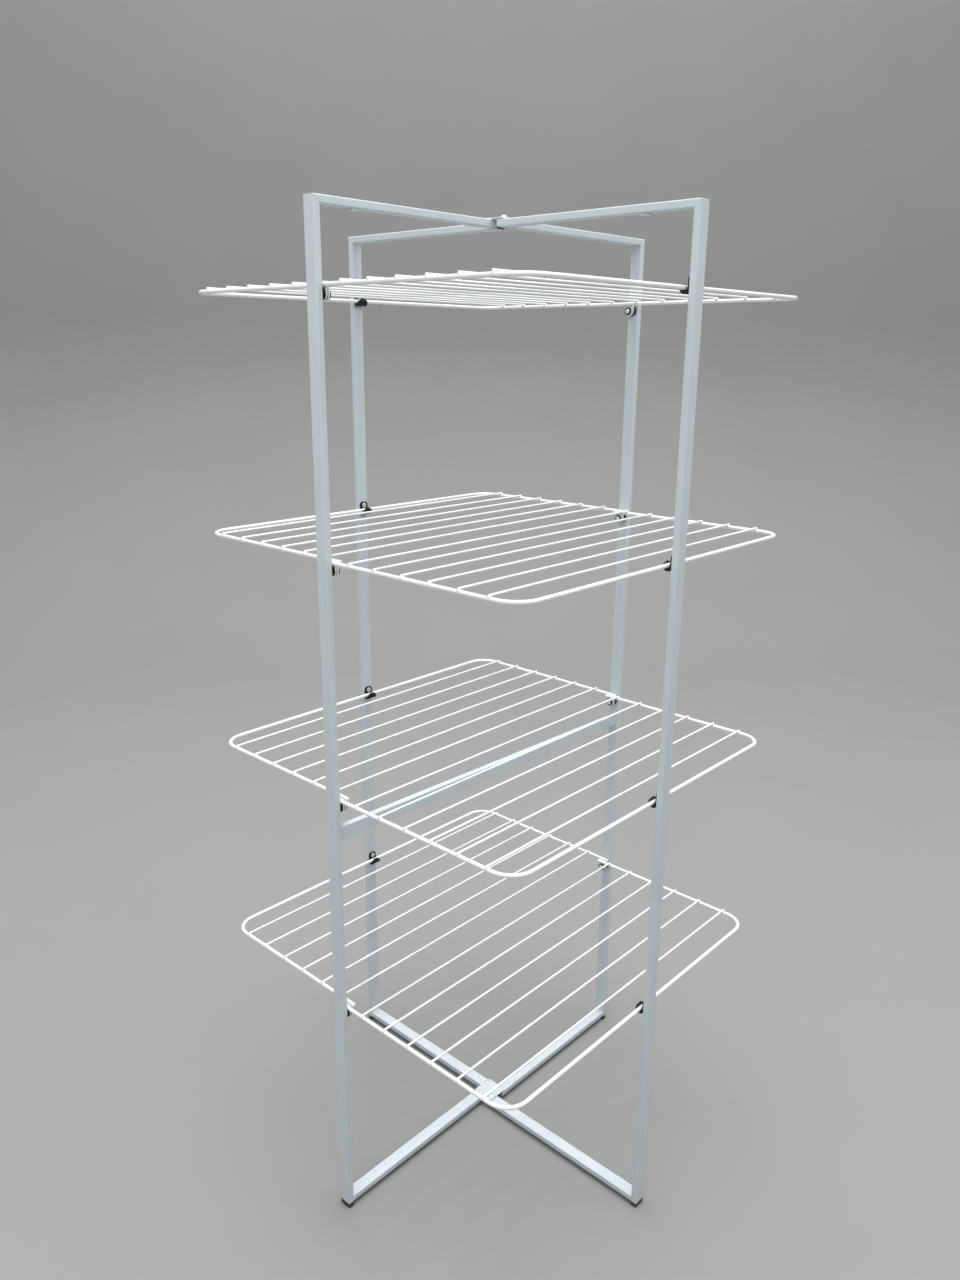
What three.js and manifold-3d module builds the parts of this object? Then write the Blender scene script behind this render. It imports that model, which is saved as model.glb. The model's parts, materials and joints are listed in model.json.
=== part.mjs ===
// Folding four-tier clothes drying rack.
// A fixed main frame and two hinged gates meet in a cross. Each tier is two wire half shelves, which
// hinge on the main frame's posts and rest in clips on the gates. Millimetres, +Z up. X runs along the
// shelves' hinge lines, and the origin is on the floor, under the crossing. The tubes and the shelves' wires
// are turned a little against X.
import * as THREE from "three";
import { mergeVertices } from "three/addons/utils/BufferGeometryUtils.js";
import Module from "manifold-3d";

const wasm = await Module();
wasm.setup();

// ---- driving dimensions ----
const HEIGHT = 1500; // floor to the top of the rails
const ARM = 335; // crossing to the outer face of a post
const TUBE_WIDE = 20;
const TUBE_THIN = 10;
const WALL = 1.2;
const RIM_HEIGHTS = [1399, 1051.5, 708, 366]; // of each tier's rim wires, to their centres
const RIM_REACH = 318.5; // crossing to the far rim wires' centres
const FIRST_SLAT = 29; // crossing to the nearest slat
const SLAT_PITCH = 49.1;
const SLATS = 6; // in each half shelf
const SLAT_RADIUS = 1.75;
const RIM_RADIUS = 3;
const RIM_CORNER = 35; // bend radius of the rim's outer corners

// ---- fits and gaps ----
const WELD_GAP = 0.1; // between welded tubes, which are separate solids
const BRACE_GAP = 0.2; // the posts' faces are a little askew to the brace's ends
const RUN_GAP = 0.3; // beside a turning ear
const SPACER_GAP = 0.2; // between a hinge spacer and its post
const RIVET_PLAY = 0.4; // between a pivot rivet's bulb and the rail it holds
const BULB_GAP = 0.6; // between a hinge rivet's bulb and the post's wall
const PLUG_PLAY = 0.2; // round a foot cap's plug
const CLIP_GAP = 0.1; // between a clip and its post
const LAP = 0.5; // joined pieces run this far into each other
const GATE_DROP = 0.8; // the gates hang a little under the centre plates
const MAIN_RAIL_END = 12; // rail ends' distance from the crossing
const GATE_RAIL_END = 9.5;
const PIVOT_REACH = 14; // a gate's pivot, along its own rail from the crossing
const HOLE_RADIUS = 2.7;
const SHAFT_RADIUS = 2.4;

// ---- small parts ----
const FOOT_HEIGHT = 8;
const FOOT_PROUD = 0.5;
const PLUG_HEIGHT = 10;
const PLATE_SIZE = 40;
const PLATE_THICK = 2;
const PLATE_CORNER = 5;
const HINGE_DROP = 11.5; // shelf hinge line below its rim wire
const EAR_RADIUS = 7;
const EAR_THICK = 2.2;
const EAR_TOP = 1.5; // over the rim wire's centre
const RIM_INNER_X = 309.5; // a rim passes inside its twin at one end and outside at the other
const RIM_OUTER_X = 320.5;
const RIM_PAST_HINGE = 8;
const SLAT_PAST_RIM = 2.5;
const SLAT_PRESS = 0.6; // the slats are pressed and welded into the rim
const HEAD_RADIUS = 5;
const HEAD_HEIGHT = 3;
const BULB_RADIUS = 3.3;
const BULB_LENGTH = 4;
const SPACER_RADIUS = 7;
const CLIP_WIDTH = 16;
const CLIP_INNER_RADIUS = 3.8;
const CLIP_OUTER_RADIUS = 6.6;
const CLIP_TAB_HEIGHT = 14;
const CLIP_TAB_THICK = 2.6;
const CLIP_LIP = 0.6; // how far the hook rises past the wire's centre, in radians
const BRACE_BOTTOM = 648;
const TAB_SIZE = [14, 14, 2];
const LEFT_TAB_FROM_POST = 59;
const GATE_TAB_FROM_POST = 75;

// ---- facets ----
const ROUND_SIDES = 12; // of rivets and holes
const RIM_SIDES = 8;
const SLAT_SIDES = 6;

// ---- worked out from the above ----
const ARM_CENTRE = ARM - TUBE_THIN / 2;
const TWIST = Math.atan2(TUBE_WIDE / 2, ARM_CENTRE); // tubes' turn against the line through the posts
const POST_FACE = ARM - TUBE_THIN;
// The ears are welded on the sides of the rim wires that face each other.
const EAR_BESIDE = RIM_RADIUS + EAR_THICK / 2 - LAP;
const EAR_INNER_X = RIM_INNER_X + EAR_BESIDE;
const EAR_OUTER_X = RIM_OUTER_X - EAR_BESIDE;

const steel = new THREE.MeshStandardMaterial({ color: 0xb9c7cc, roughness: 0.45, metalness: 0.1 });
const wireWhite = new THREE.MeshStandardMaterial({ color: 0xeeefed, roughness: 0.3, metalness: 0 });
const black = new THREE.MeshStandardMaterial({ color: 0x151617, roughness: 0.55, metalness: 0 });
const rivetSteel = new THREE.MeshStandardMaterial({ color: 0xc4c6c8, roughness: 0.3, metalness: 0.9 });

// ---- solids ----
function toSolid(geometry) {
  const plain = new THREE.BufferGeometry();
  const flat = geometry.index ? geometry.toNonIndexed() : geometry;
  plain.setAttribute("position", flat.getAttribute("position").clone());
  const merged = mergeVertices(plain, 1e-3);
  return new wasm.Manifold(
    new wasm.Mesh({
      numProp: 3,
      vertProperties: merged.attributes.position.array,
      triVerts: new Uint32Array(merged.index.array),
    }),
  );
}

function toGeometry(solid) {
  const mesh = solid.getMesh();
  const geometry = new THREE.BufferGeometry();
  geometry.setAttribute("position", new THREE.BufferAttribute(new Float32Array(mesh.vertProperties), 3));
  geometry.setIndex(new THREE.BufferAttribute(new Uint32Array(mesh.triVerts), 1));
  geometry.computeVertexNormals();
  return geometry;
}

const join = (pieces) => toGeometry(pieces.map(toSolid).reduce((a, b) => a.add(b)));
const cut = (body, tools) => toGeometry(tools.map(toSolid).reduce((a, b) => a.subtract(b), toSolid(body)));

function extrude(shape, depth, curveSegments = 6) {
  return new THREE.ExtrudeGeometry(shape, { depth, bevelEnabled: false, curveSegments });
}

function cylinder(radius, length, sides) {
  return new THREE.CylinderGeometry(radius, radius, length, sides);
}

function named(name, geometry, material) {
  const mesh = new THREE.Mesh(geometry, material);
  mesh.name = name;
  return mesh;
}

// A rectangular tube along +Z from 0 to length, xSize by ySize, centred on the axis.
// A mitred top is cut at 45 degrees, lower on its +X side.
function boxTube(xSize, ySize, length, mitred = false) {
  const shape = new THREE.Shape();
  const [a, b] = [xSize / 2, ySize / 2];
  shape.moveTo(-a, -b).lineTo(a, -b).lineTo(a, b).lineTo(-a, b).closePath();
  const bore = new THREE.Path();
  bore.moveTo(WALL - a, WALL - b).lineTo(WALL - a, b - WALL);
  bore.lineTo(a - WALL, b - WALL).lineTo(a - WALL, WALL - b).closePath();
  shape.holes.push(bore);
  const geometry = extrude(shape, length);
  if (mitred) {
    const p = geometry.attributes.position;
    for (let i = 0; i < p.count; i++) {
      if (p.getZ(i) > length / 2) p.setZ(i, length - (p.getX(i) + a));
    }
  }
  return geometry;
}

// ---- one arm of the cross: it runs along -X, on the +Y side of the axis ----
const SIDE = TUBE_WIDE / 2; // the arm's centre line

function post(bottom, top, rivetZs) {
  const tube = boxTube(TUBE_THIN, TUBE_WIDE, top - bottom, true);
  tube.translate(-ARM_CENTRE, SIDE, bottom);
  if (!rivetZs.length) return tube;
  const holes = rivetZs.map((z) =>
    cylinder(HOLE_RADIUS, 2 * WALL, ROUND_SIDES)
      .rotateZ(Math.PI / 2)
      .rotateZ(-TWIST)
      .translate(-POST_FACE - WALL / 2, SIDE, z),
  );
  return cut(tube, holes);
}

function rail(outerX, innerX, bottom, mitred, pivot) {
  // A post's mitre is low on its inner side, and a rail's is long on its top side.
  const tube = boxTube(TUBE_THIN, TUBE_WIDE, outerX - innerX, mitred);
  tube.rotateY(-Math.PI / 2);
  tube.rotateX(Math.PI);
  tube.translate(-innerX, SIDE, bottom + TUBE_THIN / 2);
  if (!pivot) return tube;
  const hole = cylinder(HOLE_RADIUS, 2 * WALL, ROUND_SIDES)
    .rotateX(Math.PI / 2)
    .translate(-PIVOT_REACH, SIDE, bottom + TUBE_THIN - WALL / 2);
  return cut(tube, [hole]);
}

function footCap(height) {
  const cap = new THREE.BoxGeometry(TUBE_THIN + 2 * FOOT_PROUD, TUBE_WIDE + 2 * FOOT_PROUD, height);
  cap.translate(-ARM_CENTRE, SIDE, height / 2);
  const bore = 2 * (WALL + PLUG_PLAY);
  const plug = new THREE.BoxGeometry(TUBE_THIN - bore, TUBE_WIDE - bore, PLUG_HEIGHT + LAP);
  plug.translate(-ARM_CENTRE, SIDE, height + (PLUG_HEIGHT - LAP) / 2);
  return join([cap, plug]);
}

// A hook around the rim wire, on the post's inner face: a J-shaped strip with a flat tab above.
function clip(z) {
  const back = RIM_REACH - POST_FACE + CLIP_GAP;
  const shape = new THREE.Shape();
  shape.moveTo(back, CLIP_TAB_HEIGHT);
  shape.lineTo(back, 0);
  shape.absellipse(0, 0, -back, CLIP_OUTER_RADIUS, Math.PI, 1.5 * Math.PI, false);
  shape.absarc(0, 0, CLIP_OUTER_RADIUS, 1.5 * Math.PI, 2 * Math.PI + CLIP_LIP, false);
  shape.absarc(0, 0, CLIP_INNER_RADIUS, CLIP_LIP, -Math.PI, true);
  shape.lineTo(back + CLIP_TAB_THICK, CLIP_TAB_HEIGHT);
  shape.closePath();
  const strip = extrude(shape, CLIP_WIDTH, 10);
  strip.rotateX(Math.PI / 2);
  return strip.translate(-RIM_REACH, SIDE + CLIP_WIDTH / 2, z);
}

function catchTab(fromPost, underside) {
  const tab = new THREE.BoxGeometry(...TAB_SIZE);
  return tab.translate(-POST_FACE + fromPost, SIDE, underside - TAB_SIZE[2] / 2);
}

function arm(name, isGate) {
  const group = new THREE.Group();
  const drop = isGate ? GATE_DROP : 0;
  const bottom = FOOT_HEIGHT - drop;
  const top = HEIGHT - drop;
  const railEnd = isGate ? GATE_RAIL_END : MAIN_RAIL_END;
  const rivetZs = isGate ? [] : RIM_HEIGHTS.map((z) => z - HINGE_DROP);
  group.add(
    named(name + "_post", post(bottom, top, rivetZs), steel),
    named(name + "_top_rail", rail(ARM - WELD_GAP, railEnd, top - TUBE_THIN, true, isGate), steel),
    named(name + "_bottom_rail", rail(POST_FACE - WELD_GAP, railEnd, bottom, false, isGate), steel),
    named(name + "_foot_cap", footCap(bottom), black),
  );
  return group;
}

// ---- rivets ----
// A blind rivet along +Z: the dome stands on z = 0, the shaft goes down and ends in a formed bulb.
function blindRivet(grip) {
  const profile = [];
  const bulbEnd = -grip - BULB_LENGTH;
  profile.push(new THREE.Vector2(0, bulbEnd), new THREE.Vector2(BULB_RADIUS, bulbEnd));
  profile.push(new THREE.Vector2(BULB_RADIUS, -grip), new THREE.Vector2(SHAFT_RADIUS, -grip));
  profile.push(new THREE.Vector2(SHAFT_RADIUS, 0));
  const steps = 3;
  for (let i = 0; i <= steps; i++) {
    const a = (i / steps) * (Math.PI / 2);
    profile.push(new THREE.Vector2(HEAD_RADIUS * Math.cos(a), HEAD_HEIGHT * Math.sin(a)));
  }
  profile[profile.length - 1].x = 0;
  return new THREE.LatheGeometry(profile, ROUND_SIDES).rotateX(Math.PI / 2);
}

// ---- wire half shelf: it reaches from the hinge line out to +Y, with its rim wire at z = 0 ----
function straightWire(from, to, radius, sides) {
  const length = from.distanceTo(to);
  const wire = cylinder(radius, length, sides);
  const along = to.clone().sub(from).normalize();
  wire.applyQuaternion(new THREE.Quaternion().setFromUnitVectors(new THREE.Vector3(0, 1, 0), along));
  const middle = from.clone().add(to).multiplyScalar(0.5);
  return wire.translate(middle.x, middle.y, middle.z);
}

function bentWire(centreX, centreY, startAngle) {
  const bend = new THREE.Curve();
  bend.getPoint = (t) => {
    const a = startAngle + (t * Math.PI) / 2;
    return new THREE.Vector3(centreX + RIM_CORNER * Math.cos(a), centreY + RIM_CORNER * Math.sin(a), 0);
  };
  const section = new THREE.Shape().absarc(0, 0, RIM_RADIUS, 0, 2 * Math.PI);
  return new THREE.ExtrudeGeometry(section, { steps: 5, curveSegments: 4, extrudePath: bend });
}

function ear(x) {
  const shape = new THREE.Shape();
  shape.moveTo(EAR_RADIUS, EAR_TOP);
  shape.lineTo(-EAR_RADIUS, EAR_TOP);
  shape.lineTo(-EAR_RADIUS, -HINGE_DROP);
  shape.absarc(0, -HINGE_DROP, EAR_RADIUS, Math.PI, 2 * Math.PI, false);
  shape.closePath();
  const plate = extrude(shape, EAR_THICK, 8);
  plate.rotateX(Math.PI / 2).rotateZ(Math.PI / 2);
  plate.translate(x - EAR_THICK / 2, 0, 0);
  const hole = cylinder(HOLE_RADIUS, 2 * EAR_THICK, ROUND_SIDES);
  return cut(plate, [hole.rotateZ(Math.PI / 2).translate(x, 0, -HINGE_DROP)]);
}

function halfShelf() {
  // The wires are made parallel to the tubes, and turned back to the hinge line at the end.
  const up = new THREE.Vector3(0, 0, 1);
  const hingePoint = (x) => new THREE.Vector3(x, 0, 0).applyAxisAngle(up, -TWIST);
  const hinges = [hingePoint(-RIM_INNER_X), hingePoint(RIM_OUTER_X)];
  const [left, right] = hinges.map((hinge) => hinge.x);
  const cornerY = RIM_REACH - RIM_CORNER;
  const v = (x, y, z = 0) => new THREE.Vector3(x, y, z);
  const rimWire = (from, to) => straightWire(from, to, RIM_RADIUS, RIM_SIDES);
  const wires = hinges.map(({ x, y }) => rimWire(v(x, y - RIM_PAST_HINGE), v(x, cornerY + LAP)));
  wires.push(
    rimWire(v(left + RIM_CORNER - LAP, RIM_REACH), v(right - RIM_CORNER + LAP, RIM_REACH)),
    bentWire(left + RIM_CORNER, cornerY, Math.PI / 2),
    bentWire(right - RIM_CORNER, cornerY, 0),
  );
  const slatZ = RIM_RADIUS + SLAT_RADIUS - SLAT_PRESS;
  for (let i = 0; i < SLATS; i++) {
    const y = FIRST_SLAT + i * SLAT_PITCH;
    const ends = [v(left - SLAT_PAST_RIM, y, slatZ), v(right + SLAT_PAST_RIM, y, slatZ)];
    wires.push(straightWire(...ends, SLAT_RADIUS, SLAT_SIDES));
  }
  wires.forEach((wire) => wire.rotateZ(TWIST));
  return join([...wires, ear(-EAR_INNER_X), ear(EAR_OUTER_X)]);
}

// ---- the object ----
const rack = new THREE.Group();
const tubes = new THREE.Group();
tubes.rotation.z = TWIST;
rack.add(tubes);

// The four arms follow one another round the crossing, each set off by one tube width.
const arms = [
  { name: "left", turn: 0, isGate: false },
  { name: "rear_gate", turn: -Math.PI / 2, isGate: true },
  { name: "right", turn: Math.PI, isGate: false },
  { name: "front_gate", turn: Math.PI / 2, isGate: true },
];
for (const { name, turn, isGate } of arms) {
  const group = arm(name, isGate);
  group.rotation.z = turn;
  tubes.add(group);
  if (isGate) {
    for (let i = 0; i < RIM_HEIGHTS.length; i++) {
      const side = name.replace("_gate", "");
      group.add(named(`${side}_shelf_clip_${i + 1}`, clip(RIM_HEIGHTS[i]), black));
    }
  }
  if (name === "left") {
    const tab = catchTab(LEFT_TAB_FROM_POST, HEIGHT - TUBE_THIN);
    group.add(named("left_catch_tab", tab, steel));
  }
  if (name === "front_gate") {
    const tab = catchTab(GATE_TAB_FROM_POST, HEIGHT - TUBE_THIN - GATE_DROP);
    group.add(named("front_gate_catch_tab", tab, steel));
  }
}

// Centre plates, welded on the main frame's rails, with the gates' pivot rivets.
const plateShape = new THREE.Shape();
const straight = PLATE_SIZE / 2 - PLATE_CORNER;
plateShape.absarc(straight, straight, PLATE_CORNER, 0, Math.PI / 2, false);
plateShape.absarc(-straight, straight, PLATE_CORNER, Math.PI / 2, Math.PI, false);
plateShape.absarc(-straight, -straight, PLATE_CORNER, Math.PI, 1.5 * Math.PI, false);
plateShape.absarc(straight, -straight, PLATE_CORNER, 1.5 * Math.PI, 2 * Math.PI, false);
const pivots = { rear_gate: [SIDE, PIVOT_REACH], front_gate: [-SIDE, -PIVOT_REACH] };
const levels = { top: HEIGHT, bottom: FOOT_HEIGHT + TUBE_THIN };
for (const [level, z] of Object.entries(levels)) {
  const holes = Object.values(pivots).map(([x, y]) =>
    cylinder(HOLE_RADIUS, 4 * PLATE_THICK, ROUND_SIDES).rotateX(Math.PI / 2).translate(x, y, PLATE_THICK / 2),
  );
  const plate = named(`${level}_centre_plate`, cut(extrude(plateShape, PLATE_THICK, 3), holes), steel);
  plate.position.z = z;
  tubes.add(plate);
  for (const [gate, [x, y]] of Object.entries(pivots)) {
    const grip = PLATE_THICK + GATE_DROP + WALL + RIVET_PLAY;
    const rivet = named(`${gate}_${level}_rivet`, blindRivet(grip), rivetSteel);
    rivet.position.set(x, y, z + PLATE_THICK);
    tubes.add(rivet);
  }
}

// Middle brace, between the inner faces of the two fixed posts.
const braceLength = 2 * (POST_FACE - BRACE_GAP);
const brace = boxTube(TUBE_WIDE, TUBE_THIN, braceLength);
brace.rotateY(Math.PI / 2).translate(-braceLength / 2, 0, BRACE_BOTTOM + TUBE_WIDE / 2);
rack.add(named("middle_brace", brace, steel));

// Half shelves. A front one is a rear one turned half round.
const sides = [
  { name: "rear", turn: 0 },
  { name: "front", turn: Math.PI },
];
const shelf = halfShelf();
for (const { name, turn } of sides) {
  for (let i = 0; i < RIM_HEIGHTS.length; i++) {
    const half = named(`${name}_half_shelf_${i + 1}`, shelf, wireWhite);
    half.rotation.z = turn;
    half.position.z = RIM_HEIGHTS[i];
    rack.add(half);
  }
}

// Shelf hinges: on each fixed post, a spacer and one rivet carry both halves' ears.
const headBase = EAR_INNER_X - EAR_THICK / 2 - RUN_GAP;
const spacerFrom = EAR_OUTER_X + EAR_THICK / 2 + RUN_GAP;
const spacerTo = POST_FACE - SPACER_GAP;
const hingeGrip = POST_FACE + WALL + BULB_GAP - headBase;
const ring = new THREE.Shape().absarc(0, 0, SPACER_RADIUS, 0, 2 * Math.PI);
ring.holes.push(new THREE.Path().absarc(0, 0, HOLE_RADIUS, 0, 2 * Math.PI, true));
const rivetGeometry = blindRivet(hingeGrip).rotateY(-Math.PI / 2).translate(headBase, 0, 0);
const spacerGeometry = extrude(ring, spacerTo - spacerFrom);
spacerGeometry.rotateY(Math.PI / 2).translate(spacerFrom, 0, 0);
const hingeSides = [
  { name: "left", turn: Math.PI },
  { name: "right", turn: 0 },
];
for (const { name, turn } of hingeSides) {
  for (let i = 0; i < RIM_HEIGHTS.length; i++) {
    const hinge = new THREE.Group();
    hinge.rotation.z = turn;
    hinge.position.z = RIM_HEIGHTS[i] - HINGE_DROP;
    hinge.add(named(`${name}_shelf_rivet_${i + 1}`, rivetGeometry, rivetSteel));
    hinge.add(named(`${name}_shelf_spacer_${i + 1}`, spacerGeometry, black));
    rack.add(hinge);
  }
}

export default rack;
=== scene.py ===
"""Looks of a folding four-tier clothes drying rack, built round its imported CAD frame.

Lengths are in metres and +Z is up. X runs along the shelves' hinge lines. The tubes and the shelves' wires
are turned a little about Z against X, but the ears and the hinge rivets aren't. Each arm's pieces are built
in the arm's own frame, in which the arm runs along -X on the +Y side, and are then turned into place.
"""
import json
import math
import random

import bmesh
import bpy
from mathutils import Matrix, Vector


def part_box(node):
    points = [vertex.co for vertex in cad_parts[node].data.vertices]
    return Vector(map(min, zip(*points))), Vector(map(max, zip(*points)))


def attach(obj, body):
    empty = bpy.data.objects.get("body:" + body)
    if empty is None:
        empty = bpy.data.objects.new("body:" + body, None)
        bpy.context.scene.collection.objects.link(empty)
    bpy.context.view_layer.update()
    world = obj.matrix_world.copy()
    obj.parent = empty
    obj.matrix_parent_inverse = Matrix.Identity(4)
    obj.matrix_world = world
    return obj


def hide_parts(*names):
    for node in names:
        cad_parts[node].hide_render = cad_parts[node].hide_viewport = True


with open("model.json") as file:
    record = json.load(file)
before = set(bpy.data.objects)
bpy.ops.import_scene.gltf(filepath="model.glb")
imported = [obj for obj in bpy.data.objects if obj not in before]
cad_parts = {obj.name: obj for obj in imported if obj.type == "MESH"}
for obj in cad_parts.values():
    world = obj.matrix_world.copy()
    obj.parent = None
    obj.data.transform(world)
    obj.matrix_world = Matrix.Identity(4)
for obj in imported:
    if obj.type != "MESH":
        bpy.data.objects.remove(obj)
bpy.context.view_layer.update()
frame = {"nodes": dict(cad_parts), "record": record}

MM = 0.001
rng = random.Random(4)

# ---- sizes of the tube frame ----
TUBE_WIDE = 20 * MM
TUBE_THIN = 10 * MM
WALL = 1.2 * MM
TUBE_ROUND = 1.5 * MM  # radius of the tubes' long edges
TUBE_SOFT = 0.25 * MM  # of the tubes' cut ends
SIDE = TUBE_WIDE / 2  # an arm's centre line lies this far off its axis
PLATE_SOFT = 0.5 * MM
FOOT_CORNER = 2 * MM
FOOT_SOFT = 0.9 * MM
FOOT_NECK = 0.6 * MM  # height of the narrower neck between foot and tube
FOOT_NECK_INSET = 0.35 * MM
PLUG_CORNER = 0.6 * MM

# ---- radii of the weld beads, and how far they stay from the pieces' edges ----
INNER_CORNER_BEAD = 1.5 * MM
MITRE_BEAD = 0.62 * MM  # ground nearly flush
RAIL_SIDE_BEAD = 1.1 * MM
RAIL_TOP_BEAD = 1.3 * MM
BRACE_BEAD = 1.2 * MM
PLATE_BEAD = 1.3 * MM
EAR_BEAD = 1 * MM
POST_BEAD_MARGIN = 1.5 * MM
BEAD_MARGIN = 1 * MM
BEAD_OFFSET = 0.2 * MM  # from the corner that a bead fills

# ---- sizes of the half shelves ----
RIM_RADIUS = 3 * MM
SLAT_RADIUS = 1.75 * MM
SLATS = 6
FIRST_SLAT = 29 * MM  # from the crossing
SLAT_PITCH = 49.1 * MM
SLAT_SCATTER = 0.5 * MM
SLAT_PAST_RIM = 2.5 * MM
SLAT_END_SCATTER = 0.8 * MM
SLAT_SINK = 0.6 * MM  # into the rim wire
MOUND = (3.1 * MM, 2.7 * MM, 1.3 * MM)  # half sizes of the weld under a slat
RIM_CORNER = 35 * MM
RIM_PAST_HINGE = 8 * MM  # the side wires end this far past the hinge line
HINGE_DROP = 11.5 * MM  # from a rim wire's centre down to the hinge rivets' axis
HOLE_RADIUS = 2.7 * MM  # in the ears, washers and bushes
EAR_RADIUS = 7 * MM
EAR_THICK = 2.2 * MM
EAR_SOFT = 0.35 * MM
EAR_TOP = 1.5 * MM  # over the rim wire's centre
EAR_BESIDE = 3.6 * MM  # from a rim wire's centre to the middle of the ear on its side
EAR_MIDDLE = 1.4 * MM  # from an ear's middle plane to the spacer or the rivet's head beside it
WIRE_END = ((0.0, 0.6), (0.12, 0.82), (0.4, 0.96), (0.9, 1.0))  # distance from the tip and radius, in radii

# ---- sizes of the rivets and hinges ----
HEAD_RADIUS = 5 * MM
HEAD_HEIGHT = 3 * MM
HINGE_HEAD_RADIUS = 4.2 * MM
HINGE_HEAD_HEIGHT = 1.9 * MM
SHAFT_RADIUS = 2.4 * MM
BULB_RADIUS = 3.3 * MM
BULB_LENGTH = 4 * MM
DOME_DEGREES = 72  # from the dome's rim up to the mandrel's eye
EYE_SHARE = 0.32  # the eye's radius, of the head's
MANDREL = (  # (share of the eye's radius, share of the head's height), from the eye's lip inwards
    (0.9, 0.94), (0.78, 0.75), (0.74, 0.5), (0.6, 0.48), (0.5, 0.6), (0.15, 0.62),
)
COLLAR_RADIUS = 6.1 * MM  # of the black collar under a hinge rivet's dome
COLLAR_HEIGHT = 2.2 * MM
COLLAR_SOFT = 0.3 * MM
WASHER_RADIUS = 6.6 * MM
WASHER_SOFT = 0.4 * MM
WASHER_PLAY = 0.2 * MM
BUSH_SOFT = 0.4 * MM
BUSH_FLANGE = 1.4 * MM
BUSH_WAIST = 0.9 * MM  # depth of the waist between the flanges

# ---- sizes of the clips ----
CLIP_OUTER_RADIUS = 6.6 * MM
CLIP_INNER_RADIUS = 3.8 * MM
CLIP_TAB_THICK = 2.6 * MM
CLIP_TAB_CORNER = 5 * MM
CLIP_TAB_SOFT = 0.4 * MM
CLIP_POST_GAP = 0.05 * MM
CLIP_SIDE_SOFT = {1: 0.6 * MM, 0.985: 0.25 * MM}  # drawn in at these shares of the half width
CLIP_STOPS = [0.25, 0.5, 0.7, 0.85, 0.94, 0.985, 1]
CLIP_RIVET_SHARE = 0.58  # its height, of the tab's
HOOK_SQUARENESS = 3.2  # exponent of the curve at the hook's lower back
HOOK_EDGE_SHORT = 0.8  # the hook's sides stop this many radians short of level with the wire
HOOK_TIP_REACH = 1.5  # and its middle goes this much further
HOOK_FLARE = 0.17  # widening from tab to hook
HOOK_EXTRA = 1 * MM  # thickening from tab to hook
HOOK_SNUG = 0.4 * MM  # the inside closes in on the wire by this much
EYELET = [  # (radius, height) round the tubular rivet of a clip
    (1.3 * MM, -3 * MM), (1.3 * MM, 0.5 * MM), (1.55 * MM, 0.95 * MM), (2.1 * MM, 1.2 * MM),
    (3 * MM, 1.15 * MM), (3.8 * MM, 0.8 * MM), (4.2 * MM, 0.35 * MM), (4.2 * MM, 0.1 * MM),
    (4 * MM, 0), (2.2 * MM, 0), (2.2 * MM, -3 * MM),
]

# ---- colours ----
PAINT, PAINT_PATCH, PAINT_GRAIN = (0.565, 0.640, 0.675), (0.588, 0.662, 0.698), (0.66, 0.73, 0.76)
PAINT_SPECK, PAINT_DUST = (0.20, 0.20, 0.19), (0.36, 0.34, 0.31)
PAINT_DUST_TOP = 0.10  # no dust lies above this height
COATING, COATING_PATCH, COATING_SPECK = (0.80, 0.81, 0.80), (0.86, 0.87, 0.865), (0.42, 0.41, 0.38)
PLASTIC, PLASTIC_PATCH, PLASTIC_DUST = (0.006, 0.006, 0.007), (0.013, 0.013, 0.014), (0.12, 0.117, 0.113)
FOOT_GREY = (0.075, 0.074, 0.073)
FOOT_GREY_LOW, FOOT_GREY_TOP = 0.010, 0.016  # the feet's grey fades out between these heights
METAL, METAL_PATCH = (0.80, 0.81, 0.81), (0.90, 0.90, 0.89)
STAGE_GREY = (0.27, 0.265, 0.26)
STAGE_SHADE = 0.97

# ---- places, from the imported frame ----
mounts = {m["name"]: Vector(m["pos_m"]) for m in frame["record"]["mounts"]}
joints = {j["name"]: j for j in frame["record"]["behaviour"]["joints"]}
bodies = frame["record"]["behaviour"]["bodies"]
TWIST = math.asin(SIDE / mounts["left_foot"].xy.length)
TIERS = [joints[f"rear_shelf_{i}_fold"]["pos_m"][2] + HINGE_DROP for i in (1, 2, 3, 4)]
ARMS = {  # turn about Z in degrees, and body
    "left": (0, "main_frame"),
    "rear_gate": (-90, "rear_gate"),
    "right": (180, "main_frame"),
    "front_gate": (90, "front_gate"),
}
tubes_frame = Matrix.Rotation(TWIST, 4, "Z")
half_turn = Matrix.Rotation(math.pi, 4, "Z")


def box_in(node, own_frame):
    """Lowest and highest corner of a CAD node, along the axes of a frame turned about the origin."""
    back = own_frame.inverted()
    points = [back @ v.co for v in frame["nodes"][node].data.vertices]
    low = Vector([min(p[k] for p in points) for k in range(3)])
    high = Vector([max(p[k] for p in points) for k in range(3)])
    return low, high


# ---- mesh building ----
def loft(bm, rings, loop=False):
    """Skins a row of rings of equally many points, and closes its ends or joins the last ring to the first."""
    rows = [[bm.verts.new(p) for p in ring] for ring in rings]
    pairs = list(zip(rows, rows[1:]))
    if loop:
        pairs.append((rows[-1], rows[0]))
    for a, b in pairs:
        for i in range(len(a)):
            j = (i + 1) % len(a)
            bm.faces.new((a[i], a[j], b[j], b[i]))
    if not loop:
        bm.faces.new(rows[0])
        bm.faces.new(rows[-1])


def circle(centre, side, up, radius, sides):
    angles = [2 * math.pi * k / sides for k in range(sides)]
    return [centre + radius * (math.cos(a) * side + math.sin(a) * up) for a in angles]


def path_frames(path):
    """At each point of a path, the unit vectors along it and across it, carried on without a twist."""
    frames = []
    side = (path[1] - path[0]).orthogonal().normalized()
    for i in range(len(path)):
        along = (path[min(i + 1, len(path) - 1)] - path[max(i - 1, 0)]).normalized()
        side = (side - along * side.dot(along)).normalized()
        frames.append((along, side, along.cross(side)))
    return frames


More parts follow.
